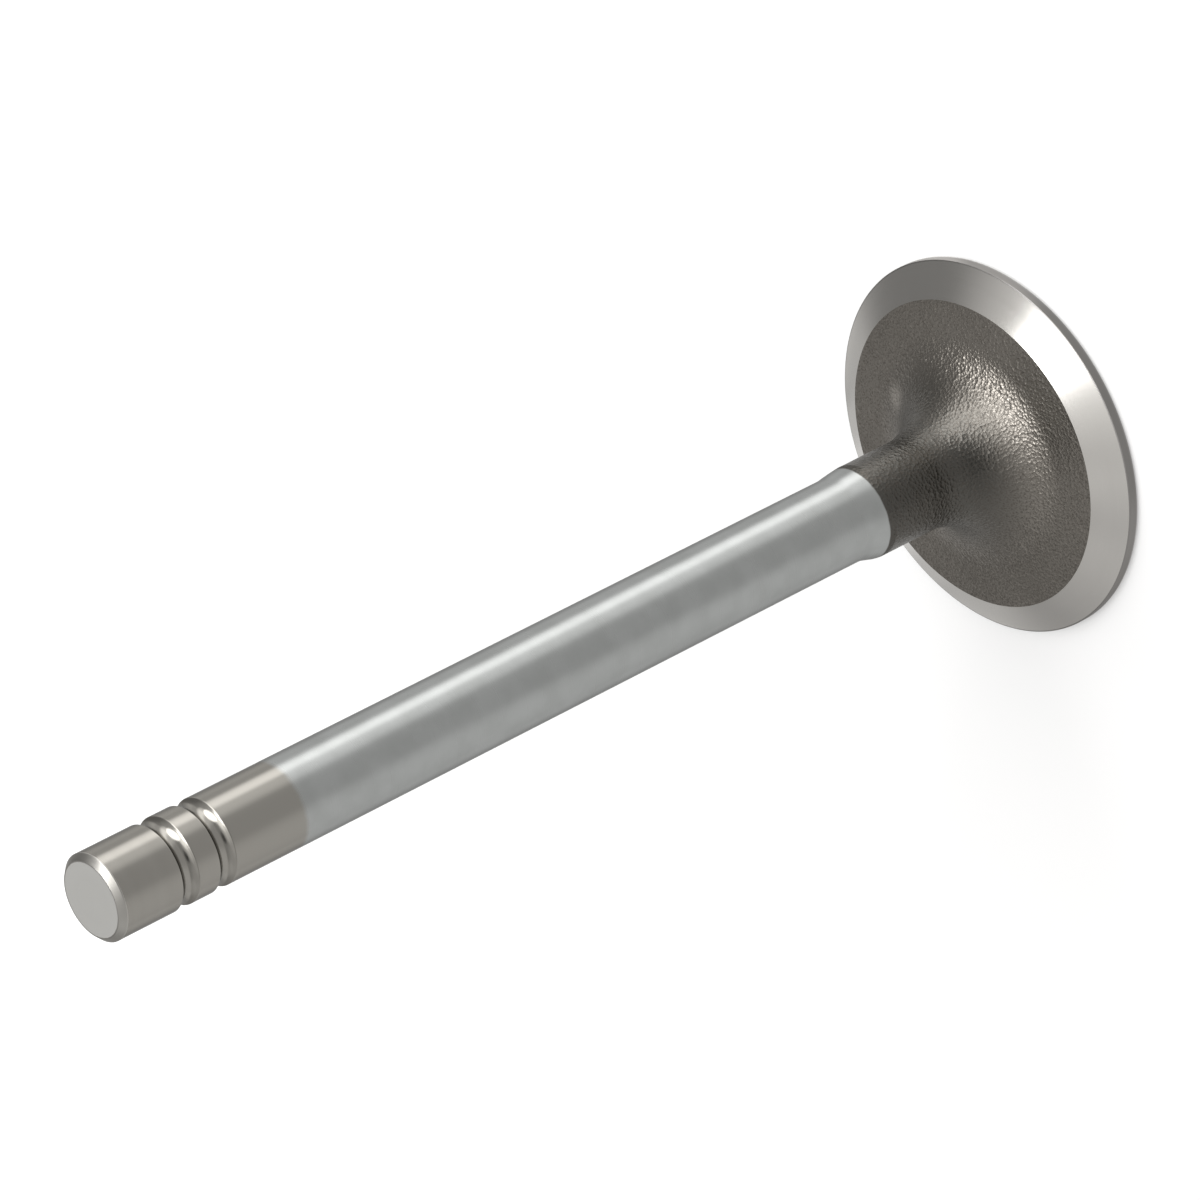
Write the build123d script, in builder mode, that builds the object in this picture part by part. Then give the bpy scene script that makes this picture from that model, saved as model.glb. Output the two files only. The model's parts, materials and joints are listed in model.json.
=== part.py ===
"""Poppet engine valve: one steel forging, turned and ground all over except its neck and underside.

The valve stands on its combustion face. Z runs up the stem from the head to the tip, the combustion
face lies in the plane z = 0, and all sizes are millimetres.
"""

from build123d import *

import math
import os

os.makedirs("parts", exist_ok=True)

# Overall
valve_length = 105.8  # combustion face to tip
stem_diameter = 8.0
head_diameter = 36.0

# Head
margin_height = 1.05  # cylindrical land between the combustion face and the seat
face_break = 0.2  # edge break round the combustion face
seat_angle = 30.0  # seat cone, up from the plane of the head
seat_width = 3.15  # seat cone, measured along the radius
underside_angle = 5.0  # forged cone inside the seat, up from the plane of the head
trumpet_radius = 7.8  # forged fillet between the underside and the neck

# Neck
neck_diameter = 8.8  # forged, a little thicker than the ground stem
neck_height = 6.45  # straight part above the fillet
runout_height = 2.1  # taper from the neck down to the stem, where the grinding ends
runout_radius = 5.0  # rounds both ends of that taper

# Stem end
groove_count = 2  # keeper grooves
groove_from_tip = 7.4  # tip to the centre of the first groove
groove_pitch = 4.0
groove_width = 1.75  # across the groove at the stem's surface
groove_depth = 0.55
groove_lip = 0.12  # rounds the lips of each groove
tip_chamfer = 0.5

stem_radius = stem_diameter / 2
neck_radius = neck_diameter / 2
head_radius = head_diameter / 2

# The seat and the underside meet in one circle, and the underside's cone would meet the neck in another.
seat_inner_radius = head_radius - seat_width
seat_top = margin_height + seat_width * math.tan(math.radians(seat_angle))
underside_rise = (seat_inner_radius - neck_radius) * math.tan(math.radians(underside_angle))
trumpet_corner = seat_top + underside_rise

# The fillet leaves that corner by the same length along both of its sides.
corner_angle = math.radians(90 + underside_angle)
trumpet_top = trumpet_corner + trumpet_radius / math.tan(corner_angle / 2)
neck_top = trumpet_top + neck_height
stem_start = neck_top + runout_height

# A round-bottomed groove is a ring of circular section that bites groove_depth into the stem.
groove_radius = (groove_width**2 / 4 + groove_depth**2) / (2 * groove_depth)
groove_ring_radius = stem_radius - groove_depth + groove_radius
first_groove = valve_length - groove_from_tip

# Corners of the blank that the forging and the grinding wheel leave round: radius, height, rounding
roundings = [
    (neck_radius, trumpet_corner, trumpet_radius),
    (neck_radius, neck_top, runout_radius),
    (stem_radius, stem_start, runout_radius),
]


with BuildPart() as valve:
    # Half section of the blank, turned round the stem's axis
    with BuildSketch(Plane.XZ) as section:
        with BuildLine():
            Polyline(
                (0, 0),
                (head_radius, 0),
                (head_radius, margin_height),
                (seat_inner_radius, seat_top),
                (neck_radius, trumpet_corner),
                (neck_radius, neck_top),
                (stem_radius, stem_start),
                (stem_radius, valve_length),
                (0, valve_length),
                close=True,
            )
        make_face()
        for radius, height, rounding in roundings:
            corner = section.vertices().sort_by_distance((radius, height))[0]
            fillet(corner, rounding)
    revolve(axis=Axis.Z)

    # Keeper grooves, counted from the tip down
    with BuildSketch(Plane.XZ):
        for index in range(groove_count):
            with Locations((groove_ring_radius, first_groove - index * groove_pitch)):
                Circle(groove_radius)
    revolve(axis=Axis.Z, mode=Mode.SUBTRACT)
    rims = valve.edges(Select.LAST).filter_by(GeomType.CIRCLE)
    lips = rims.filter_by(lambda rim: math.isclose(rim.radius, stem_radius, abs_tol=1e-6))
    fillet(lips, groove_lip)

    # Turned edges at both ends
    chamfer(valve.edges().group_by(Axis.Z)[-1], tip_chamfer)
    chamfer(valve.edges().group_by(Axis.Z)[0], face_break)

valve.part.label = "valve"
export_step(valve.part, "parts/valve.step")

print(f"fillet ends at z {trumpet_top:.2f}, neck at {neck_top:.2f}, ground stem starts at {stem_start:.2f}")
print(f"volume {valve.part.volume / 1000:.3f} cm3, keeper groove root radius {groove_radius:.3f} mm")
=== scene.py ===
"""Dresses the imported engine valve: one turned steel forging with a finish of its own on each zone.

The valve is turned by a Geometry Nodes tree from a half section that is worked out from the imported
frame. It stands on its combustion face, with Z up the stem, and every length is in metres.
"""

import json
import logging
import math
from dataclasses import asdict, dataclass
from enum import Enum
from typing import Any

import bpy
import numpy as np
from bpy.types import Material, Mesh, Node, Object
from bpy.types import NodeSocket as Socket
from bpy.types import NodeTree as Tree
from mathutils import Matrix, Vector

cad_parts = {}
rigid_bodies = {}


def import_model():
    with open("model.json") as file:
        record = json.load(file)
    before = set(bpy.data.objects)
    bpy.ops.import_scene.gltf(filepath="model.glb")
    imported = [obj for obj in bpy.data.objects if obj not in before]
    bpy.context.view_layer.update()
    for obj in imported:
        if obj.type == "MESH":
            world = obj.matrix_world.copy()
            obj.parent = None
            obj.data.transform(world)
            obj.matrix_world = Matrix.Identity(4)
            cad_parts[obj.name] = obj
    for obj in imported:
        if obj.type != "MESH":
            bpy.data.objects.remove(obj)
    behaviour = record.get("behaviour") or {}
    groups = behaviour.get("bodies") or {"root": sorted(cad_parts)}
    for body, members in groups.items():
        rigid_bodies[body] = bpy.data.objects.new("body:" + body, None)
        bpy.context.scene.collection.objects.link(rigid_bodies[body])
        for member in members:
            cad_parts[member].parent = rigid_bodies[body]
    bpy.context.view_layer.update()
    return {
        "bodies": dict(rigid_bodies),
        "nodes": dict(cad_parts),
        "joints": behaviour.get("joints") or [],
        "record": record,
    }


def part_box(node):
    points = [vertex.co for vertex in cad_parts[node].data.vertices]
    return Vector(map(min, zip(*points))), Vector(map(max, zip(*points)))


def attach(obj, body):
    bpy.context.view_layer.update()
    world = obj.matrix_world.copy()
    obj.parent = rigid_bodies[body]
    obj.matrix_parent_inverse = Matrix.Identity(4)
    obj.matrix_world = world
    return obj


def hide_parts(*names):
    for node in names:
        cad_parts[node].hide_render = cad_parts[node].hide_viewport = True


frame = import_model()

MM = 0.001
log = logging.getLogger("engine_valve")

Colour = tuple[float, float, float]
WHITE: Colour = (1.0, 1.0, 1.0)
QUARTER_TURN = 0.25
NOISE_MIDDLE = 0.5


def new_object(name: str, data: Any) -> Object:
    """Puts a new object into the scene, at the origin.

    Args:
        name: The object's name.
        data: Its mesh, light or camera.

    Returns:
        The new object.
    """
    made = bpy.data.objects.new(name, data)
    bpy.context.scene.collection.objects.link(made)
    return made


def direction(azimuth: float, elevation: float) -> Vector:
    """Unit direction at an azimuth from the X axis and an elevation, both in degrees."""
    turn, lift = math.radians(azimuth), math.radians(elevation)
    return Vector((math.cos(lift) * math.cos(turn), math.cos(lift) * math.sin(turn), math.sin(lift)))


# ---- sizes


@dataclass(frozen=True)
class ValveSizes:
    """Sizes of the valve. The first group is read from the frame, the rest are its turned details."""

    length: float
    head_radius: float
    stem_radius: float
    grooves: tuple[float, ...]
    face_break: float = 0.2 * MM
    margin_height: float = 1.05 * MM
    seat_width: float = 3.15 * MM
    seat_angle: float = math.radians(30.0)
    underside_angle: float = math.radians(5.0)
    trumpet_radius: float = 7.8 * MM
    neck_radius: float = 4.4 * MM
    neck_height: float = 6.45 * MM
    runout_height: float = 2.1 * MM
    runout_rounding: float = 5.0 * MM
    groove_width: float = 1.75 * MM
    groove_depth: float = 0.55 * MM
    groove_lip: float = 0.12 * MM
    tip_chamfer: float = 0.5 * MM
    groove_half_pitch: float = 2.0 * MM
    skin_end_share: float = 0.1
    edge: float = 0.06 * MM
    plated_to_tip: float = 20.0 * MM
    plating_above_neck: float = 0.20 * MM
    plating_lean: float = 0.13 * MM
    plating_high_side: tuple[float, float, float] = (0.42, -0.91, 0.0)

    @classmethod
    def from_frame(cls, packed: dict[str, Any]) -> "ValveSizes":
        """Reads what the frame holds.


        Returns:
            The valve's sizes, with its length, head, stem and groove places from the frame.
        """
        _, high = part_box("valve")
        mounts = {mount["name"]: mount for mount in packed["record"]["mounts"]}
        between = mounts["keeper_grooves"]["pos_m"][2]
        return cls(
            length=high[2],
            head_radius=high[0],
            stem_radius=mounts["stem"]["dims"]["r_mm"] * MM,
            grooves=(between - cls.groove_half_pitch, between + cls.groove_half_pitch),
        )

    @property
    def seat_inner_radius(self) -> float:
        """Radius where the ground seat ends and the forged underside begins."""
        return self.head_radius - self.seat_width

    @property
    def seat_top(self) -> float:
        """Height of that circle."""
        return self.margin_height + self.seat_width * math.tan(self.seat_angle)

    @property
    def trumpet_corner(self) -> float:
        """Height where the underside's cone would meet the neck."""
        run = self.seat_inner_radius - self.neck_radius
        return self.seat_top + run * math.tan(self.underside_angle)

    @property
    def trumpet_top(self) -> float:
        """Height where the forged fillet meets the neck."""
        half_corner = (math.pi / 2 + self.underside_angle) / 2
        return self.trumpet_corner + self.trumpet_radius / math.tan(half_corner)

    @property
    def neck_top(self) -> float:
        """Height where the taper to the stem begins."""
        return self.trumpet_top + self.neck_height

    @property
    def skin_end(self) -> float:
        """Height where the forging skin ends, just below the rounded start of the taper."""
        return self.neck_top - self.skin_end_share * self.runout_rounding

    @property
    def stem_start(self) -> float:
        """Height where the taper has come down to the stem."""
        return self.neck_top + self.runout_height


# ---- node graphs


class Blend(Enum):
    """Kinds of value that can be mixed, each with the label that its sockets carry."""

    RGBA = "Color"
    FLOAT = "Float"
    VECTOR = "Vector"


class Graph:
    """Adds nodes to one node tree, and feeds their sockets with links or plain values."""

    def __init__(self, tree: Tree) -> None:
        """Keeps the tree that the nodes go into."""
        self.tree = tree

    def add(self, kind: str, feeds: dict[str | int, Any] | None = None, **settings: Any) -> Node:
        """Adds one node.

        Args:
            kind: The node's type name.
            feeds: What each input takes, by the input's identifier, name or number.
            **settings: The node's own properties.

        Returns:
            The new node.
        """
        node = self.tree.nodes.new(kind)
        for name, value in settings.items():
            setattr(node, name, value)
        for key, value in (feeds or {}).items():
            self.feed(self.socket(node.inputs, key), value)
        return node

    @staticmethod
    def socket(sockets: Any, key: str | int) -> Socket:
        """Finds a socket by its identifier, or else by its name or number."""
        found = [item for item in sockets if item.identifier == key]
        return found[0] if found else sockets[key]

    def feed(self, socket: Socket, value: Any) -> None:
        """Links an input, or sets its own value.

        Args:
            socket: The input.
            value: A node, a socket or a plain value.
        """
        if isinstance(value, Node):
            value = value.outputs[0]
        if isinstance(value, Socket):
            self.tree.links.new(value, socket)
        elif socket.type == "RGBA":
            socket.default_value = (*value, 1.0)
        else:
            socket.default_value = value

    def math(self, operation: str, *values: Any) -> Node:
        """Adds a Math node with its values in order."""
        return self.add("ShaderNodeMath", dict(enumerate(values)), operation=operation)

    def measure(self, operation: str, *vectors: Any) -> Socket:
        """Adds a Vector Math node that gives a number, such as a length or a distance."""
        node = self.add("ShaderNodeVectorMath", dict(enumerate(vectors)), operation=operation)
        return node.outputs["Value"]

    def scaled(self, vector: Any, factor: Any) -> Node:
        """Adds a Vector Math node that scales a vector."""
        return self.add("ShaderNodeVectorMath", {"Vector": vector, "Scale": factor}, operation="SCALE")

    def from_axis(self, place: Any) -> tuple[Socket, Socket]:
        """Measures a place's height along the Z axis and its distance from that axis."""
        x, y, z = self.add("ShaderNodeSeparateXYZ", {0: place}).outputs
        return z, self.measure("LENGTH", self.add("ShaderNodeCombineXYZ", {0: x, 1: y}))

    def noise(self, place: Any, scale: Any = 1.0, detail: float = 0.0, **feeds: Any) -> Socket:
        """Adds a Noise Texture and returns its grey value."""
        feeds = {"Vector": place, "Scale": scale, "Detail": detail, **feeds}
        return self.add("ShaderNodeTexNoise", feeds).outputs["Fac"]

    def ramp(self, value: Any, low: Any, high: Any, to_low: Any = 0.0, to_high: Any = 1.0) -> Node:
        """Adds a smooth step that takes low..high to to_low..to_high."""
        feeds = {"Value": value, "From Min": low, "From Max": high, "To Min": to_low, "To Max": to_high}
        return self.add("ShaderNodeMapRange", feeds, interpolation_type="SMOOTHSTEP")

    def blend(self, share: Any, first: Any, second: Any, kind: Blend = Blend.RGBA) -> Socket:
        """Adds a mix of two values.

        Args:
            share: Share of the second value.
            first: The value at a share of 0.
            second: The value at a share of 1.
            kind: Kind of the two values.

        Returns:
            The mixed value.
        """
        label = kind.value
        feeds = {"Factor_Float": share, f"A_{label}": first, f"B_{label}": second}
        mix = self.add("ShaderNodeMix", feeds, data_type=kind.name)
        return self.socket(mix.outputs, f"Result_{label}")


class Effect(Enum):
    """Effects that several finishes share, by the names of their node groups."""

    AXES = "valve_axes"
    LATHE = "lathe_marks"
    GRAIN = "blasted_grain"
    MOTTLE = "mottle"
    ABOVE = "zone_edge"


class ShaderGroups:
    """Builds the shared effects, each once."""

    def build(self) -> None:
        """Builds every group."""
        self._axes()
        self._lathe_marks()
        self._blasted_grain()
        self._mottle()
        self._zone_edge()

    @staticmethod
    def _group(effect: Effect, inputs: tuple[str, ...], outputs: tuple[str, ...]) -> tuple[Graph, Any]:
        """Starts a group, in which a socket named Vector is a vector and every other one a number.

        Args:
            effect: What the group is for.
            inputs: Names of its input sockets.
            outputs: Names of its output sockets.

        Returns:
            The group's graph and what its input node gives.
        """
        tree = bpy.data.node_groups.new(effect.value, "ShaderNodeTree")
        for way, labels in (("INPUT", inputs), ("OUTPUT", outputs)):
            for label in labels:
                kind = "NodeSocketVector" if label == "Vector" else "NodeSocketFloat"
                tree.interface.new_socket(label, in_out=way, socket_type=kind)
        graph = Graph(tree)
        return graph, graph.add("NodeGroupInput").outputs

    def _axes(self) -> None:
        """Height up the stem and distance from its axis, from object coordinates."""
        graph, given = self._group(Effect.AXES, ("Vector",), ("Height", "Radius"))
        height, radius = graph.from_axis(given["Vector"])
        graph.add("NodeGroupOutput", {"Height": height, "Radius": radius})

    def _lathe_marks(self) -> None:
        """Fine lines that run round the axis, as turning and grinding leave them."""
        drift_rate, band_scale = 60.0, 0.12
        graph, given = self._group(Effect.LATHE, ("Vector", "Across", "Pitch"), ("Fine", "Bands"))
        steps = graph.math("DIVIDE", given["Across"], given["Pitch"])
        along = graph.add("ShaderNodeSeparateXYZ", {0: graph.scaled(given["Vector"], drift_rate)}).outputs
        spot = graph.add("ShaderNodeCombineXYZ", {0: steps, 1: along[0], 2: along[1]})
        fine = graph.noise(spot, detail=3.0, Roughness=0.6)
        graph.add("NodeGroupOutput", {"Fine": fine, "Bands": graph.noise(spot, band_scale, detail=1.0)})

    def _blasted_grain(self) -> None:
        """Shot-blasted skin: overlapping round dimples with finer grit in them."""
        grit_scale, grit_share, pit_low, pit_high = 1.7, 0.5, 0.36, 0.52
        graph, given = self._group(Effect.GRAIN, ("Vector", "Grain"), ("Height", "Pits"))
        spot = graph.scaled(given["Vector"], graph.math("DIVIDE", 1.0, given["Grain"]))
        dimples = graph.add("ShaderNodeTexVoronoi", {"Vector": spot, "Scale": 1.0}, feature="F1")
        bowl = graph.math("POWER", dimples.outputs["Distance"], 2.0)
        grit = graph.noise(spot, grit_scale, detail=2.0, Roughness=0.6)
        height = graph.math("MULTIPLY_ADD", grit, grit_share, bowl)
        pits = graph.ramp(grit, pit_low, pit_high, 1.0, 0.0)
        graph.add("NodeGroupOutput", {"Height": height, "Pits": pits})

    def _mottle(self) -> None:
        """Soft cloudy variation of tone."""
        thin, thick = 0.3, 0.7
        graph, given = self._group(Effect.MOTTLE, ("Vector", "Size", "Seed"), ("Clouds",))
        spot = graph.scaled(given["Vector"], graph.math("DIVIDE", 1.0, given["Size"]))
        shifted = graph.add("ShaderNodeVectorMath", {0: spot, 1: given["Seed"]}, operation="ADD")
        clouds = graph.ramp(graph.noise(shifted, detail=3.0), thin, thick)
        graph.add("NodeGroupOutput", {"Clouds": clouds})

    def _zone_edge(self) -> None:
        """A mask that turns on above a height, with a soft and slightly ragged edge."""
        fray_rate = 900.0
        wanted = ("Vector", "Height", "Edge", "Softness", "Ragged")
        graph, given = self._group(Effect.ABOVE, wanted, ("Above",))
        fray = graph.noise(graph.scaled(given["Vector"], fray_rate), detail=2.0)
        shift = graph.math("MULTIPLY", graph.math("SUBTRACT", fray, NOISE_MIDDLE), given["Ragged"])
        edge = graph.math("ADD", given["Edge"], shift)
        low = graph.math("SUBTRACT", edge, given["Softness"])
        high = graph.math("ADD", edge, given["Softness"])
        graph.add("NodeGroupOutput", {"Above": graph.ramp(given["Height"], low, high)})


class FinishGraph(Graph):
    """The node graph of one finish, with the shared groups and the valve's axes at hand."""

    def __init__(self, material: Material) -> None:
        """Clears the material's tree and starts it with object coordinates.

        Args:
            material: The finish's material.
        """
        material.use_nodes = True
        super().__init__(material.node_tree)
        self.tree.nodes.clear()
        self.place = self.add("ShaderNodeTexCoord").outputs["Object"]
        axes = self.group(Effect.AXES)
        self.height, self.radius = axes["Height"], axes["Radius"]

    def group(self, effect: Effect, **feeds: Any) -> Any:
        """Places a shared group on the object's own coordinates and returns what it gives."""
        tree = bpy.data.node_groups[effect.value]
        return self.add("ShaderNodeGroup", {"Vector": self.place, **feeds}, node_tree=tree).outputs

    def bump(self, height: Any, distance: float) -> Node:
        """Adds a bump of a real height."""
        return self.add("ShaderNodeBump", {"Height": height, "Distance": distance, "Strength": 1.0})

    def finish(
        self, colour: Any, roughness: Any, normal: Any, brushed: float = 0.0, glancing: float = 1.0
    ) -> None:
        """Ends the graph in a metal surface.

        Args:
            colour: Base colour.
            roughness: Roughness.
            normal: Surface normal.
            brushed: How much the shine spreads along the axis, for marks that run round it.
            glancing: Brightness of the shine at a glancing angle.
        """
        feeds = {"Base Color": colour, "Roughness": roughness, "Metallic": 1.0, "Normal": normal}
        feeds["Specular Tint"] = (glancing,) * 3
        if brushed:
            feeds |= {"Anisotropic": brushed, "Anisotropic Rotation": QUARTER_TURN}
            feeds["Tangent"] = self.add("ShaderNodeTangent", direction_type="RADIAL", axis="Z")
        surface = self.add("ShaderNodeBsdfPrincipled", feeds)
        self.add("ShaderNodeOutputMaterial", {"Surface": surface})


# ---- finishes


class Zone(Enum):
    """Zones of the valve, from the combustion face to the tip, each with a finish of its own."""

    FACE = "faced_steel"
    MARGIN = "turned_margin"
    SEAT = "ground_seat"
    FORGING = "blasted_forging"
    STEM = "chromed_stem"
    STEM_END = "ground_stem_end"
    CHAMFER = "ground_chamfer"
    TIP = "hardened_tip"


@dataclass(frozen=True)
class TurnedFinish:
    """Bare steel with marks that run round the axis."""

    colour: Colour
    dark: Colour
    roughness: float
    pitch: float
    mark_height: float
    brushed: float
    across_radius: bool = False
    glancing: float = 1.0
    mark_roughness: float = 0.08
    banding: float = 0.35
    clouding: float = 0.25
    cloud_size: float = 6.0 * MM
    cloud_seed: float = 3.7

    def draw(self, graph: FinishGraph) -> None:
        """Adds the finish's nodes.

        Args:
            graph: The finish's graph.
        """
        across = graph.radius if self.across_radius else graph.height
        marks = graph.group(Effect.LATHE, Across=across, Pitch=self.pitch)
        clouds = graph.group(Effect.MOTTLE, Size=self.cloud_size, Seed=self.cloud_seed)["Clouds"]
        cloudy = graph.math("MULTIPLY", clouds, self.clouding)
        lined = graph.math("MULTIPLY_ADD", marks["Bands"], self.banding, cloudy)
        tone = graph.blend(lined, self.colour, self.dark)
        smoothest = self.roughness - self.mark_roughness / 2
        rough = graph.math("MULTIPLY_ADD", marks["Fine"], self.mark_roughness, smoothest)
        lines = graph.bump(marks["Fine"], self.mark_height)
        graph.finish(tone, rough, lines, self.brushed, self.glancing)


@dataclass(frozen=True)
class ForgingLook:
    """Blasted, heat-darkened forging skin: a dark dull metal with a coarse glinting grain."""

    colour: Colour = (0.284, 0.264, 0.238)
    pit: Colour = (0.120, 0.108, 0.095)
    pit_share: float = 0.74
    # Painted shade: the skin darkens towards the neck, in the crease under the head, from neck_shade_from
    # inward.
    neck: Colour = (0.106, 0.103, 0.095)
    neck_shade_from: float = 10.5 * MM
    cloud_size: float = 7.0 * MM
    cloud_seed: float = 1.3
    cloud_share: float = 0.20
    roughness: float = 0.29
    pit_roughness: float = 0.12
    grain: float = 0.30 * MM
    grain_height: float = 0.052 * MM
    neck_relief: float = 0.75
    cone_relief: float = 0.58
    cone_from: float = 9.0 * MM
    cone_to: float = 12.0 * MM
    # Painted highlight: a pale spot on the underside near the neck, with its colour, centre, core, reach and
    # share.
    scuff: Colour = (0.47, 0.44, 0.40)
    scuff_at: tuple[float, float, float] = (7.7 * MM, 4.8 * MM, 3.8 * MM)
    scuff_core: float = 0.2 * MM
    scuff_reach: float = 1.9 * MM
    scuff_share: float = 0.75

    def skin(self, graph: FinishGraph, sizes: ValveSizes) -> tuple[Any, Any, Any]:
        """Adds the skin's nodes.

        Args:
            graph: The graph of the finish that shows the skin.
            sizes: The valve's sizes.

        Returns:
            The skin's colour, roughness and normal.
        """
        grain = graph.group(Effect.GRAIN, Grain=self.grain)
        clouds = graph.group(Effect.MOTTLE, Size=self.cloud_size, Seed=self.cloud_seed)["Clouds"]
        # Painted shade: the colour darkens towards the neck, in the crease under the head; the same ramp also
        # softens the relief there.
        up_neck = graph.ramp(graph.radius, self.neck_shade_from, sizes.neck_radius)
        ground = graph.blend(up_neck, self.colour, self.neck)
        cloudy = graph.blend(graph.math("MULTIPLY", clouds, self.cloud_share), ground, self.pit)
        pitted = graph.blend(graph.math("MULTIPLY", grain["Pits"], self.pit_share), cloudy, self.pit)
        # Painted highlight: a pale spot is laid over the skin near the neck, full at its core and fading out
        # by its reach.
        away = graph.measure("DISTANCE", graph.place, self.scuff_at)
        highlight_mask = graph.ramp(away, self.scuff_core, self.scuff_reach, self.scuff_share, 0.0)
        highlighted = graph.blend(highlight_mask, pitted, self.scuff)
        rough = graph.math("MULTIPLY_ADD", grain["Pits"], self.pit_roughness, self.roughness)
        out_cone = graph.ramp(graph.radius, self.cone_from, self.cone_to, 1.0, self.cone_relief)
        on_neck = graph.blend(up_neck, 1.0, self.neck_relief, Blend.FLOAT)
        relief = graph.math("MULTIPLY", grain["Height"], graph.math("MULTIPLY", on_neck, out_cone))
        return highlighted, rough, graph.bump(relief, self.grain_height)


@dataclass(frozen=True)
class ForgedFinish:
    """The forging skin by itself."""

    sizes: ValveSizes
    look: ForgingLook = ForgingLook()

    def draw(self, graph: FinishGraph) -> None:
        """Adds the finish's nodes to its graph."""
        graph.finish(*self.look.skin(graph, self.sizes))


@dataclass(frozen=True)
class StemFinish:
    """Satin hard chrome on the stem, with the forging skin below it and bare ground steel above."""

    sizes: ValveSizes
    chrome: Colour = (0.464, 0.479, 0.476)
    chrome_dark: Colour = (0.402, 0.416, 0.410)
    cloud_size: float = 2.6 * MM
    cloud_seed: float = 8.1
    cloud_share: float = 0.6
    roughness: float = 0.28
    bare: Colour = (0.358, 0.346, 0.319)
    bare_roughness: float = 0.18
    mark_pitch: float = 0.12 * MM
    mark_height: float = 0.0005 * MM
    mark_roughness: float = 0.04
    start_softness: float = 0.09 * MM
    start_ragged: float = 0.12 * MM
    end_softness: float = 0.34 * MM
    end_ragged: float = 0.30 * MM
    brushed: float = 0.6
    glancing: float = 0.6
    look: ForgingLook = ForgingLook()

    def above(self, graph: FinishGraph, edge: Any, softness: float, ragged: float) -> Socket:
        """Masks what lies above a height, with an edge as soft and as ragged as these lengths."""
        feeds = {"Height": graph.height, "Edge": edge, "Softness": softness, "Ragged": ragged}
        return graph.group(Effect.ABOVE, **feeds)["Above"]

    def draw(self, graph: FinishGraph) -> None:
        """Adds the finish's nodes.

        Args:
            graph: The finish's graph.
        """
        sizes = self.sizes
        skin, skin_rough, skin_normal = self.look.skin(graph, sizes)
        fine = graph.group(Effect.LATHE, Across=graph.height, Pitch=self.mark_pitch)["Fine"]
        clouds = graph.group(Effect.MOTTLE, Size=self.cloud_size, Seed=self.cloud_seed)["Clouds"]
        cloudy = graph.math("MULTIPLY", clouds, self.cloud_share)
        plated = graph.blend(cloudy, self.chrome, self.chrome_dark)
        side = graph.measure("DOT_PRODUCT", graph.place, sizes.plating_high_side)
        lean = graph.ramp(side, 0.0, sizes.neck_radius, 0.0, sizes.plating_lean)
        low_edge = graph.math("ADD", lean, sizes.neck_top + sizes.plating_above_neck)
        start = self.above(graph, low_edge, self.start_softness, self.start_ragged)
        high_edge = sizes.length - sizes.plated_to_tip
        end = self.above(graph, high_edge, self.end_softness, self.end_ragged)
        colour = graph.blend(start, skin, graph.blend(end, plated, self.bare))
        level = graph.blend(end, self.roughness, self.bare_roughness, Blend.FLOAT)
        smoothest = graph.math("SUBTRACT", level, self.mark_roughness / 2)
        satin = graph.math("MULTIPLY_ADD", fine, self.mark_roughness, smoothest)
        rough = graph.blend(start, skin_rough, satin, Blend.FLOAT)
        normal = graph.blend(start, skin_normal, graph.bump(fine, self.mark_height), Blend.VECTOR)
        graph.finish(colour, rough, normal, self.brushed, self.glancing)


class FinishRack:
    """Every material of the valve, by zone."""

    def __init__(self, sizes: ValveSizes) -> None:
        """Builds the shared groups and the materials.

        Args:
            sizes: The valve's sizes.
        """
        ShaderGroups().build()
        finishes = {
            Zone.FACE: TurnedFinish(
                (0.42, 0.41, 0.4), (0.3, 0.29, 0.28), 0.34, 0.22 * MM, 0.004 * MM, 0.5, across_radius=True
            ),
            Zone.MARGIN: TurnedFinish(
                (0.35, 0.34, 0.33), (0.25, 0.24, 0.23), 0.36, 0.09 * MM, 0.002 * MM, 0.4, glancing=0.5
            ),
            Zone.SEAT: TurnedFinish(
                (0.63, 0.615, 0.59), (0.56, 0.545, 0.52), 0.18, 0.06 * MM, 0.0012 * MM, 0.3
            ),
            Zone.FORGING: ForgedFinish(sizes),
            Zone.STEM: StemFinish(sizes),
            Zone.STEM_END: TurnedFinish(
                (0.38, 0.367, 0.340), (0.31, 0.299, 0.274), 0.18, 0.12 * MM, 0.0006 * MM, 0.6, glancing=0.6
            ),
            Zone.CHAMFER: TurnedFinish(
                (0.48, 0.469, 0.442), (0.41, 0.40, 0.376), 0.30, 0.12 * MM, 0.0006 * MM, 0.3, glancing=0.6
            ),
            Zone.TIP: TurnedFinish(
                (0.53, 0.527, 0.511), (0.495, 0.491, 0.475), 0.7, 0.15 * MM, 0.001 * MM, 0, across_radius=True
            ),
        }
        self.materials: dict[Zone, Material] = {}
        for zone, finish in finishes.items():
            material = bpy.data.materials.new(zone.value)
            finish.draw(FinishGraph(material))
            self.materials[zone] = material
            log.info("finish %s", zone.value)


# ---- half section


@dataclass(frozen=True)
class Corner:
    """One corner of the half section, with the radius that rounds it and the steps of that rounding."""

    radius: float
    height: float
    rounding: float = 0.0
    steps: int = 1


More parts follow.
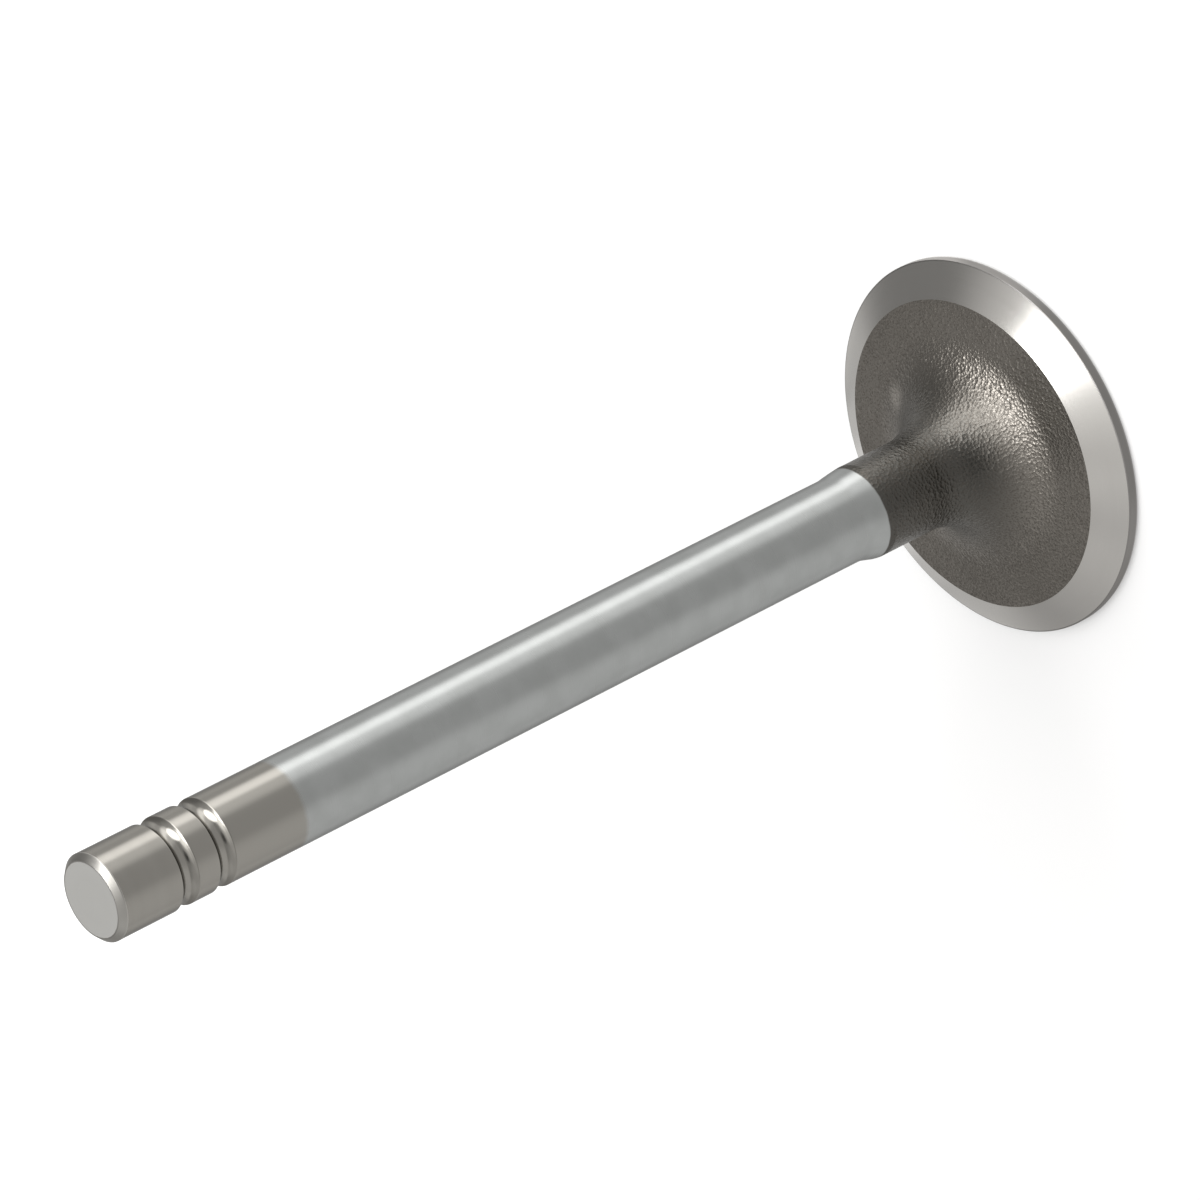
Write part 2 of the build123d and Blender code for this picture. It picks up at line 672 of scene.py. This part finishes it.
@dataclass(frozen=True)
class HalfSection:
    """Works out the valve's outline from its axis at the combustion face to its axis at the tip."""

    sizes: ValveSizes
    edge_steps: int = 3
    fillet_steps: int = 48
    runout_steps: int = 5
    groove_steps: int = 12
    lip_steps: int = 4
    beside_groove: float = 0.12 * MM
    below_grooves: float = 0.30 * MM
    above_runout: float = 1.0 * MM

    def outlines(self) -> dict[Zone, tuple[Corner, ...]]:
        """Works out each zone's stretch of the outline.

        Returns:
            The zones' corners, each without its first, which is where the last zone ended.
        """
        s = self.sizes
        near = 2 * s.edge
        outer, neck, stem, tip = s.head_radius, s.neck_radius, s.stem_radius, s.stem_radius - s.tip_chamfer
        chamfer_foot = s.length - s.tip_chamfer
        return {
            Zone.FACE: (
                Corner(outer / 3, 0),
                Corner(outer - s.face_break - near, 0),
                self.arris(outer - s.face_break, 0),
                self.arris(outer, s.face_break),
                Corner(outer, s.face_break + near),
            ),
            Zone.MARGIN: (
                self.arris(outer, s.margin_height),
                Corner(outer - near, s.margin_height + near * math.tan(s.seat_angle)),
            ),
            Zone.SEAT: (Corner(s.seat_inner_radius, s.seat_top),),
            Zone.FORGING: (
                Corner(neck, s.trumpet_corner, s.trumpet_radius, self.fillet_steps),
                Corner(neck, s.skin_end),
            ),
            Zone.STEM: (
                Corner(neck, s.neck_top, s.runout_rounding, self.runout_steps),
                Corner(stem, s.stem_start, s.runout_rounding, self.runout_steps),
                Corner(stem, s.stem_start + self.above_runout),
                Corner(stem, s.grooves[0] - s.groove_width / 2 - self.below_grooves),
            ),
            Zone.STEM_END: (
                *(corner for height in s.grooves for corner in self.groove(height)),
                Corner(stem, chamfer_foot - near),
            ),
            Zone.CHAMFER: (
                self.arris(stem, chamfer_foot),
                self.arris(tip, s.length),
                Corner(tip - near, s.length),
            ),
            Zone.TIP: (Corner(tip / 2, s.length), Corner(0, s.length)),
        }

    def arris(self, radius: float, height: float) -> Corner:
        """A turned edge with its sharpness taken off."""
        return Corner(radius, height, self.sizes.edge, self.edge_steps)

    def groove(self, height: float) -> list[Corner]:
        """Works out one keeper groove.

        Args:
            height: Height of the groove's centre.

        Returns:
            Its corners from the lower lip to the upper lip, with both lips rounded.
        """
        s = self.sizes
        bend = (s.groove_width**2 / 4 + s.groove_depth**2) / (2 * s.groove_depth)
        centre = s.stem_radius - s.groove_depth + bend
        half = math.asin(s.groove_width / 2 / bend)
        corners = [Corner(s.stem_radius, height - s.groove_width / 2 - self.beside_groove)]
        for step in range(self.groove_steps + 1):
            angle = -half + 2 * half * step / self.groove_steps
            lip = (s.groove_lip, self.lip_steps) if step in (0, self.groove_steps) else ()
            radius = centre - bend * math.cos(angle)
            corners.append(Corner(radius, height + bend * math.sin(angle), *lip))
        corners.append(Corner(s.stem_radius, height + s.groove_width / 2 + self.beside_groove))
        return corners

    def mesh(self) -> Mesh:
        """Draws the outline as separate lines, one for each zone.

        Returns:
            A mesh of edges whose points carry their zone's number, their rounding and its steps.
        """
        corners, zones, edges = [], [], []
        outlines, last = self.outlines(), Corner(0, 0)
        for number, zone in enumerate(Zone):
            line = (last, *outlines[zone])
            first, last = len(corners), line[-1]
            corners += line
            zones += [number] * len(line)
            edges += [(index, index + 1) for index in range(first, len(corners) - 1)]
        mesh = bpy.data.meshes.new("half_section")
        mesh.from_pydata([(corner.radius, 0.0, corner.height) for corner in corners], edges, [])
        for name, kind, values in (
            ("zone", "INT", zones),
            ("rounding", "FLOAT", [corner.rounding for corner in corners]),
            ("steps", "INT", [corner.steps for corner in corners]),
        ):
            mesh.attributes.new(name, kind, "POINT").data.foreach_set("value", values)
        return mesh


# ---- turning


@dataclass(frozen=True)
class ForgedRelief:
    """The real unevenness of the forging skin: each field is an input of the turning tree."""

    spacing: float = 0.21 * MM
    wave_size: float = 5.5 * MM
    wave_height: float = 0.05 * MM
    dent_size: float = 1.1 * MM
    dent_height: float = 0.022 * MM
    fade: float = 0.5 * MM
    run_out: float = -0.12 * MM
    seed: float = 4.0

    def inputs(self) -> dict[str, float]:
        """The turning tree's inputs that hold this relief, by name."""
        return {name.replace("_", " ").capitalize(): value for name, value in asdict(self).items()}


class TurningTree:
    """A Geometry Nodes tree that turns a half section round the Z axis and dresses its zones."""

    crease = math.radians(18.0)
    weld = 0.002 * MM
    dent_seed = 11.0
    above_taper = 0.5 * MM

    def __init__(self, sizes: ValveSizes, relief: ForgedRelief) -> None:
        """Builds the tree.

        Args:
            sizes: The valve's sizes.
            relief: The forging skin's unevenness.
        """
        self.sizes = sizes
        self.relief = relief
        self.tree = bpy.data.node_groups.new("turn_round_axis", "GeometryNodeTree")
        self.tree.is_modifier = True
        self.graph = Graph(self.tree)
        self.identifiers: dict[str, str] = {}
        self._sockets()
        self._nodes()

    def _sockets(self) -> None:
        """Makes the tree's named inputs and its output."""
        face = self.tree.interface
        face.new_socket("Half Section", in_out="INPUT", socket_type="NodeSocketGeometry")
        wanted = {"Segments": "NodeSocketInt"}
        wanted |= dict.fromkeys(self.relief.inputs(), "NodeSocketFloat")
        wanted |= {zone.value: "NodeSocketMaterial" for zone in Zone}
        for name, kind in wanted.items():
            self.identifiers[name] = face.new_socket(name, in_out="INPUT", socket_type=kind).identifier
        face.new_socket("Valve", in_out="OUTPUT", socket_type="NodeSocketGeometry")

    def _attribute(self, name: str, kind: str) -> Node:
        """Reads one of the half section's own attributes."""
        return self.graph.add("GeometryNodeInputNamedAttribute", {"Name": name}, data_type=kind)

    def _numbered(self, name: str, number: int) -> Node:
        """Picks what carries a number in one of those attributes."""
        feeds = {"A_INT": self._attribute(name, "INT"), "B_INT": number}
        return self.graph.add("FunctionNodeCompare", feeds, data_type="INT", operation="EQUAL")

    def _nodes(self) -> None:
        """Adds the nodes: round the corners, turn each zone, join them and dress them."""
        graph = self.graph
        given = graph.add("NodeGroupInput").outputs
        outline = graph.add("GeometryNodeMeshToCurve", {"Mesh": given["Half Section"]})
        feeds = {"Curve": outline, "Radius": self._attribute("rounding", "FLOAT"), "Limit Radius": True}
        feeds["Count"] = self._attribute("steps", "INT")
        rounded = graph.add("GeometryNodeFilletCurve", feeds, mode="POLY")
        reach = self.sizes.head_radius
        feeds = {"Resolution": given["Segments"], "Radius": reach}
        path = graph.add("GeometryNodeCurvePrimitiveCircle", feeds)
        joined = graph.add("GeometryNodeJoinGeometry")
        for number, zone in enumerate(Zone):
            feeds = {"Geometry": rounded, "Selection": self._numbered("zone", number)}
            line = graph.add("GeometryNodeSeparateGeometry", feeds, domain="CURVE")
            if zone is Zone.FORGING:
                feeds = {"Curve": line, "Length": given["Spacing"]}
                turned = self._turned(graph.add("GeometryNodeResampleCurve", feeds, mode="LENGTH"), path)
                turned = self._uneven(turned, given)
            else:
                turned = self._turned(line, path)
            feeds = {"Geometry": turned, "Name": "finish", "Value": number}
            marked = graph.add("GeometryNodeStoreNamedAttribute", feeds, data_type="INT", domain="FACE")
            graph.feed(joined.inputs[0], marked)
        outside = graph.add("GeometryNodeFlipFaces", {"Mesh": self._off_centre(joined, given["Run out"])})
        closed = graph.add("GeometryNodeMergeByDistance", {"Geometry": outside, "Distance": self.weld})
        feeds = {"Geometry": closed, "Shade Smooth": True}
        smooth = graph.add("GeometryNodeSetShadeSmooth", feeds, domain="FACE")
        angle = graph.add("GeometryNodeInputMeshEdgeAngle").outputs["Unsigned Angle"]
        crisp = graph.math("GREATER_THAN", angle, self.crease)
        feeds = {"Geometry": smooth, "Selection": crisp, "Shade Smooth": False}
        edged = graph.add("GeometryNodeSetShadeSmooth", feeds, domain="EDGE")
        dressed = graph.add("GeometryNodeRealizeInstances", {"Geometry": edged})
        for number, zone in enumerate(Zone):
            chosen = self._numbered("finish", number) if number else True
            feeds = {"Geometry": dressed, "Selection": chosen, "Material": given[zone.value]}
            dressed = graph.add("GeometryNodeSetMaterial", feeds)
        graph.add("NodeGroupOutput", {"Valve": dressed})

    def _turned(self, line: Node, path: Node) -> Node:
        """Sweeps one line round the axis.

        Args:
            line: The line, with its radius along X and its height along Z.
            path: The circle to sweep along, as wide as the head.

        Returns:
            The turned surface.
        """
        graph = self.graph
        spot = graph.add("ShaderNodeSeparateXYZ", {0: graph.add("GeometryNodeInputPosition")})
        outward = graph.math("SUBTRACT", spot.outputs[0], self.sizes.head_radius)
        downward = graph.math("MULTIPLY", spot.outputs[2], -1.0)
        laid = graph.add("ShaderNodeCombineXYZ", {0: outward, 1: downward})
        flat = graph.add("GeometryNodeSetPosition", {"Geometry": line, "Position": laid})
        return graph.add("GeometryNodeCurveToMesh", {"Curve": path, "Profile Curve": flat})

    def _uneven(self, skin: Node, given: Any) -> Node:
        """Gives the forging skin its waves and dents, which fade out at its borders.

        Args:
            skin: The smooth skin.
            given: The tree's inputs.

        Returns:
            The uneven skin.
        """
        graph = self.graph
        place = graph.add("GeometryNodeInputPosition")
        height, radius = graph.from_axis(place)
        from_seat = graph.math("SUBTRACT", self.sizes.seat_inner_radius, radius)
        from_stem = graph.math("SUBTRACT", self.sizes.skin_end, height)
        border = graph.math("MINIMUM", from_seat, from_stem)
        share = graph.ramp(border, 0.0, given["Fade"])
        heights = []
        for kind, shift in (("Wave", 0.0), ("Dent", self.dent_seed)):
            seeded = graph.math("ADD", given["Seed"], shift)
            scale = graph.math("DIVIDE", 1.0, given[f"{kind} size"])
            feeds = {"Vector": place, "W": seeded, "Scale": scale, "Detail": 1.0}
            noise = graph.add("ShaderNodeTexNoise", feeds, noise_dimensions="4D")
            centred = graph.math("SUBTRACT", noise.outputs["Fac"], NOISE_MIDDLE)
            heights.append(graph.math("MULTIPLY", centred, given[f"{kind} height"]))
        total = graph.math("MULTIPLY", graph.math("ADD", *heights), share)
        offset = graph.scaled(graph.add("GeometryNodeInputNormal"), total)
        return graph.add("GeometryNodeSetPosition", {"Geometry": skin, "Offset": offset})

    def _off_centre(self, valve: Node, run_out: Any) -> Node:
        """Moves the forged neck a little off the axis that the stem and the seat were ground on.

        Args:
            valve: The whole turned surface.
            run_out: How far the neck moves along X.

        Returns:
            The surface with its neck off centre.
        """
        graph = self.graph
        height = graph.add("ShaderNodeSeparateXYZ", {0: graph.add("GeometryNodeInputPosition")}).outputs[2]
        above_head = graph.ramp(height, self.sizes.seat_top, self.sizes.trumpet_top)
        still = self.sizes.stem_start - self.above_taper
        below_stem = graph.ramp(height, self.sizes.neck_top, still, 1.0, 0.0)
        share = graph.math("MULTIPLY", above_head, below_stem)
        offset = graph.add("ShaderNodeCombineXYZ", {0: graph.math("MULTIPLY", share, run_out)})
        return graph.add("GeometryNodeSetPosition", {"Geometry": valve, "Offset": offset})

    def turn(self, section: Mesh, name: str, rack: FinishRack, segments: int) -> Object:
        """Turns a half section into a plain mesh object.

        Args:
            section: The half section.
            name: The new object's name.
            rack: The materials of the zones.
            segments: Facets round the axis.

        Returns:
            The turned object, with no modifier left on it.
        """
        blank = new_object("blank", section)
        modifier = blank.modifiers.new("turning", "NODES")
        modifier.node_group = self.tree
        values = {"Segments": segments, **self.relief.inputs()}
        values |= {zone.value: rack.materials[zone] for zone in Zone}
        for label, value in values.items():
            modifier[self.identifiers[label]] = value
        graph = bpy.context.evaluated_depsgraph_get()
        mesh = bpy.data.meshes.new_from_object(blank.evaluated_get(graph), depsgraph=graph)
        bpy.data.objects.remove(blank)
        mesh.name = name
        if mesh.materials[0] is None:
            mesh.materials.pop(index=0)
        return new_object(name, mesh)


# ---- flat map


class Unroll(Enum):
    """Ways to lay a zone flat."""

    DISC = "seen along the axis"
    HEIGHT = "unrolled, row by height"
    SLOPE = "unrolled, row by height and radius together"


@dataclass(frozen=True)
class Patch:
    """A zone's place on the flat map."""

    zone: Zone
    way: Unroll
    left: float
    low: float
    width: float
    height: float


@dataclass(frozen=True)
class FlatMap:
    """Lays the turned surface out on one square, without overlaps."""

    gap: float = 0.006
    name: str = "OFBake"
    patches: tuple[Patch, ...] = (
        Patch(Zone.STEM, Unroll.HEIGHT, 0.0, 0.000, 1.0, 0.270),
        Patch(Zone.FORGING, Unroll.SLOPE, 0.0, 0.270, 1.0, 0.300),
        Patch(Zone.SEAT, Unroll.SLOPE, 0.0, 0.570, 1.0, 0.060),
        Patch(Zone.MARGIN, Unroll.HEIGHT, 0.0, 0.630, 1.0, 0.025),
        Patch(Zone.FACE, Unroll.DISC, 0.0, 0.655, 0.345, 0.345),
        Patch(Zone.STEM_END, Unroll.HEIGHT, 0.345, 0.655, 0.655, 0.220),
        Patch(Zone.TIP, Unroll.DISC, 0.345, 0.875, 0.125, 0.125),
        Patch(Zone.CHAMFER, Unroll.SLOPE, 0.470, 0.875, 0.530, 0.040),
    )

    @staticmethod
    def read(items: Any, name: str, kind: type = int, width: int = 1) -> np.ndarray:
        """Reads one property of every item of a mesh collection.

        Args:
            items: The collection.
            name: The property.
            kind: The kind of its numbers.
            width: How many numbers each item has.

        Returns:
            The numbers in a row.
        """
        values = np.empty(len(items) * width, kind)
        items.foreach_get(name, values)
        return values

    @staticmethod
    def turn(points: np.ndarray) -> np.ndarray:
        """Share of a turn round the axis at which each point lies."""
        return np.arctan2(points[:, 1], points[:, 0]) / (2 * math.pi) % 1.0

    def lay(self, mesh: Mesh) -> None:
        """Writes the map onto a turned mesh.

        Args:
            mesh: The turned mesh, whose faces carry their zone's number.
        """
        sides = self.read(mesh.polygons, "loop_total")
        face_of = np.repeat(np.arange(len(sides)), sides)
        zones = self.read(mesh.attributes["finish"].data, "value")[face_of]
        points = self.read(mesh.vertices, "co", float, 3).reshape(-1, 3)
        at = points[self.read(mesh.loops, "vertex_index")]
        first = np.concatenate([[0], np.cumsum(sides)[:-1]])
        middle = np.add.reduceat(at, first) / sides[:, None]
        radius = np.hypot(at[:, 0], at[:, 1])
        turn = self.turn(at)
        turn += np.round(self.turn(middle)[face_of] - turn)
        flat = np.zeros((len(at), 2))
        order = list(Zone)
        for patch in self.patches:
            mine = zones == order.index(patch.zone)
            spot, where = at[mine], radius[mine]
            if patch.way is Unroll.DISC:
                across, rows = (0.5 + spot[:, :2] / (2 * where.max())).T
            else:
                across = turn[mine]
                rows = spot[:, 2] - (where if patch.way is Unroll.SLOPE else 0.0)
                rows = (rows - rows.min()) / np.ptp(rows)
            flat[mine, 0] = patch.left + self.gap + across * (patch.width - 2 * self.gap)
            flat[mine, 1] = patch.low + self.gap / 2 + rows * (patch.height - self.gap)
        mesh.uv_layers.new(name=self.name).data.foreach_set("uv", flat.ravel())


# ---- valve


@dataclass
class EngineValve:
    """The valve itself."""

    sizes: ValveSizes
    relief: ForgedRelief = ForgedRelief()
    segments: int = 432
    name: str = "poppet_valve"

    def build(self, rack: FinishRack) -> None:
        """Turns the valve and dresses it.

        Args:
            rack: The materials of the zones.
        """
        section = HalfSection(self.sizes).mesh()
        piece = TurningTree(self.sizes, self.relief).turn(section, self.name, rack, self.segments)
        FlatMap().lay(piece.data)
        for mark in ("rounding", "steps", "zone", "finish"):
            if mark in piece.data.attributes:
                piece.data.attributes.remove(piece.data.attributes[mark])
        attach(piece, "root")
        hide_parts("valve")
        faces, finishes = len(piece.data.polygons), len(piece.data.materials)
        log.info("%s: %d faces in %d finishes", piece.name, faces, finishes)


# ---- studio


@dataclass(frozen=True)
class Lamp:
    """One soft panel of light, aimed at the valve."""

    name: str
    azimuth: float
    elevation: float
    distance: float
    width: float
    height: float
    radiance: float
    aim: tuple[float, float, float] = (0.0, 0.0, 0.03)

    def build(self) -> None:
        """Hangs the lamp, an ellipse that gives the same radiance in every direction."""
        away = direction(self.azimuth, self.elevation)
        light = bpy.data.lights.new(self.name, "AREA")
        light.shape = "ELLIPSE"
        light.size, light.size_y = self.width, self.height
        light.energy = self.radiance * math.pi * math.pi * self.width * self.height / 4
        lamp = new_object(self.name, light)
        lamp.location = Vector(self.aim) + away * self.distance
        lamp.rotation_euler = away.to_track_quat("Z", "Y").to_euler()


@dataclass(frozen=True)
class Glow:
    """A soft patch of brightness in one direction, as a share added to the level round it."""

    azimuth: float
    elevation: float
    inner: float
    outer: float
    strength: float

    def add(self, graph: Graph, way: Any, level: Any) -> Node:
        """Adds the patch to a level.

        Args:
            graph: The graph to add to.
            way: The socket that gives a unit direction.
            level: The level so far.

        Returns:
            The level with the patch.
        """
        along = graph.measure("DOT_PRODUCT", way, direction(self.azimuth, self.elevation))
        low, high = math.cos(math.radians(self.outer)), math.cos(math.radians(self.inner))
        return graph.math("ADD", level, graph.ramp(along, low, high, 0.0, self.strength))


@dataclass(frozen=True)
class Studio:
    """A white room: a pale floor, a soft tent round the valve, and its lamps.

    The tent and the floor each have bright and dark patches, as the polished steel sees them.
    """

    tent_level: float = 0.43
    floor_level: float = 0.60
    floor_diffuse: float = 0.62
    floor_fill: float = 0.72
    near_fill: float = 0.32
    near_reach: float = 30.0 * MM
    far_reach: float = 300.0 * MM
    floor_size: float = 8.0
    floor_drop: float = 0.02 * MM
    warmth: Colour = (1.0, 0.99, 0.975)
    lamps: tuple[Lamp, ...] = (
        Lamp("top_softbox", 16.0, 76.3, 0.75, 0.35, 0.35, 6.9),
        Lamp("strip_light", -32.0, 26.0, 0.80, 0.56, 0.86, 2.95),
    )
    tent_glows: tuple[Glow, ...] = (
        Glow(-10, 82, 5, 48, 0.30),
        Glow(-175, 52, 5, 50, 0.16),
        Glow(-75, 58, 8, 35, 0.42),
        Glow(6, 36, 5, 22, 0.12),
        Glow(-46, 55, 5, 27, 1.25),
        Glow(62, 67, 4, 24, -0.52),
        Glow(50, 30, 8, 40, -0.18),
        Glow(-100, 42, 8, 34, -0.03),
        Glow(-101, 24, 5, 20, -0.32),
        Glow(-16, 4, 6, 26, 1.00),
        Glow(172, 8, 5, 32, 0.16),
        Glow(91, 6, 8, 30, 0.17),
        Glow(108, 31, 4, 19, -0.24),
        Glow(90, 51, 4, 22, 0.15),
        Glow(143, 34, 6, 26, 0.08),
        Glow(-145, 75, 4, 16, -0.12),
    )
    floor_glows: tuple[Glow, ...] = (
        Glow(-11, 0, 2, 19, 1.00),
        Glow(-28, 0, 5, 35, 0.50),
        Glow(22, 0, 4, 26, 0.13),
        Glow(-168, 0, 5, 55, 0.16),
        Glow(90, 0, 7, 20, 0.21),
        Glow(-95, 0, 5, 40, -0.04),
        Glow(138, 0, 8, 25, 0.16),
        Glow(41, 0, 8, 22, 0.15),
        Glow(125, 0, 4, 11, -0.14),
        Glow(56, 0, 4, 10, -0.10),
    )

    @staticmethod
    def start(owner: Material | bpy.types.World) -> tuple[Graph, Any, Any]:
        """Starts the graph of the floor or the tent.

        Args:
            owner: The material or the world.

        Returns:
            Its emptied graph, a mask of the rays that see it plainly and a mask of the mirrored ones.
        """
        owner.use_nodes = True
        graph = Graph(owner.node_tree)
        graph.tree.nodes.clear()
        rays = graph.add("ShaderNodeLightPath").outputs
        plain = graph.math("MAXIMUM", rays["Is Camera Ray"], rays["Is Transmission Ray"])
        return graph, plain, rays["Is Glossy Ray"]

    def build_floor(self) -> None:
        """Lays a plain pale floor, which keeps the valve's shadow."""
        half, low = self.floor_size / 2, -self.floor_drop
        corners = [(-half, -half, low), (half, -half, low), (half, half, low), (-half, half, low)]
        mesh = bpy.data.meshes.new("floor")
        mesh.from_pydata(corners, [], [(0, 1, 2, 3)])
        floor = new_object("floor", mesh)
        material = bpy.data.materials.new("pale_floor")
        graph, plain, mirror = self.start(material)
        place = graph.add("ShaderNodeTexCoord").outputs["Object"]
        outward = graph.add("ShaderNodeVectorMath", {0: place}, operation="NORMALIZE")
        level = self.floor_level
        for glow in self.floor_glows:
            level = glow.add(graph, outward, level)
        away = graph.measure("LENGTH", place)
        lift = graph.ramp(away, self.near_reach, self.far_reach, self.near_fill, self.floor_fill)
        matt = graph.add("ShaderNodeBsdfDiffuse", {"Color": (self.floor_diffuse,) * 3})
        shown = graph.math("MULTIPLY", plain, lift)
        white = graph.add("ShaderNodeEmission", {"Color": WHITE, "Strength": shown})
        seen = graph.add("ShaderNodeAddShader", {0: matt, 1: white})
        mirrored = graph.add("ShaderNodeEmission", {"Color": self.warmth, "Strength": level})
        surface = graph.add("ShaderNodeMixShader", {0: mirror, 1: seen, 2: mirrored})
        graph.add("ShaderNodeOutputMaterial", {"Surface": surface})
        mesh.materials.append(material)

    def build_tent(self) -> None:
        """Surrounds the valve with a soft white tent, which the camera sees as plain white."""
        world = bpy.context.scene.world = bpy.data.worlds.new("tent")
        graph, plain, _ = self.start(world)
        way = graph.add("ShaderNodeTexCoord").outputs["Generated"]
        level = self.tent_level
        for glow in self.tent_glows:
            level = glow.add(graph, way, level)
        strength = graph.blend(plain, level, 1.0, Blend.FLOAT)
        tint = graph.blend(plain, self.warmth, WHITE)
        backing = graph.add("ShaderNodeBackground", {"Color": tint, "Strength": strength})
        graph.add("ShaderNodeOutputWorld", {"Surface": backing})

    def build(self) -> None:
        """Sets up the floor, the tent and the lamps."""
        self.build_floor()
        self.build_tent()
        for lamp in self.lamps:
            lamp.build()
        log.info("studio: %d lamps", len(self.lamps))


@dataclass(frozen=True)
class Camera:
    """The camera: a long lens that looks down on the valve from its tip's side, turned on its axis."""

    aim: tuple[float, float, float] = (3.26 * MM, 0.01 * MM, 46.75 * MM)
    distance: float = 604.9 * MM
    azimuth: float = 0.371
    elevation: float = 35.218
    roll: float = 116.661
    lens: float = 209.28
    film: float = 36.0

    def build(self) -> None:
        """Places the camera and makes it the scene's own."""
        turn, lift = math.radians(self.azimuth), math.radians(self.elevation)
        forward = Vector((math.sin(turn) * math.cos(lift), math.cos(turn) * math.cos(lift), -math.sin(lift)))
        data = bpy.data.cameras.new("camera")
        data.lens = self.lens
        data.sensor_width = self.film
        data.sensor_fit = "HORIZONTAL"
        camera = new_object("camera", data)
        upright = forward.to_track_quat("-Z", "Y").to_matrix().to_4x4()
        rolled = upright @ Matrix.Rotation(-math.radians(self.roll), 4, "Z")
        camera.matrix_world = Matrix.Translation(Vector(self.aim) - forward * self.distance) @ rolled
        bpy.context.scene.camera = camera


# ---- main


def main() -> None:
    """Builds the studio, the camera and the valve, in that order."""
    logging.basicConfig(level=logging.INFO, format="%(name)s: %(message)s")
    bpy.context.scene.view_settings.view_transform = "Standard"
    sizes = ValveSizes.from_frame(frame)
    Studio().build()
    Camera().build()
    EngineValve(sizes).build(FinishRack(sizes))


if __name__ == "__main__":
    main()
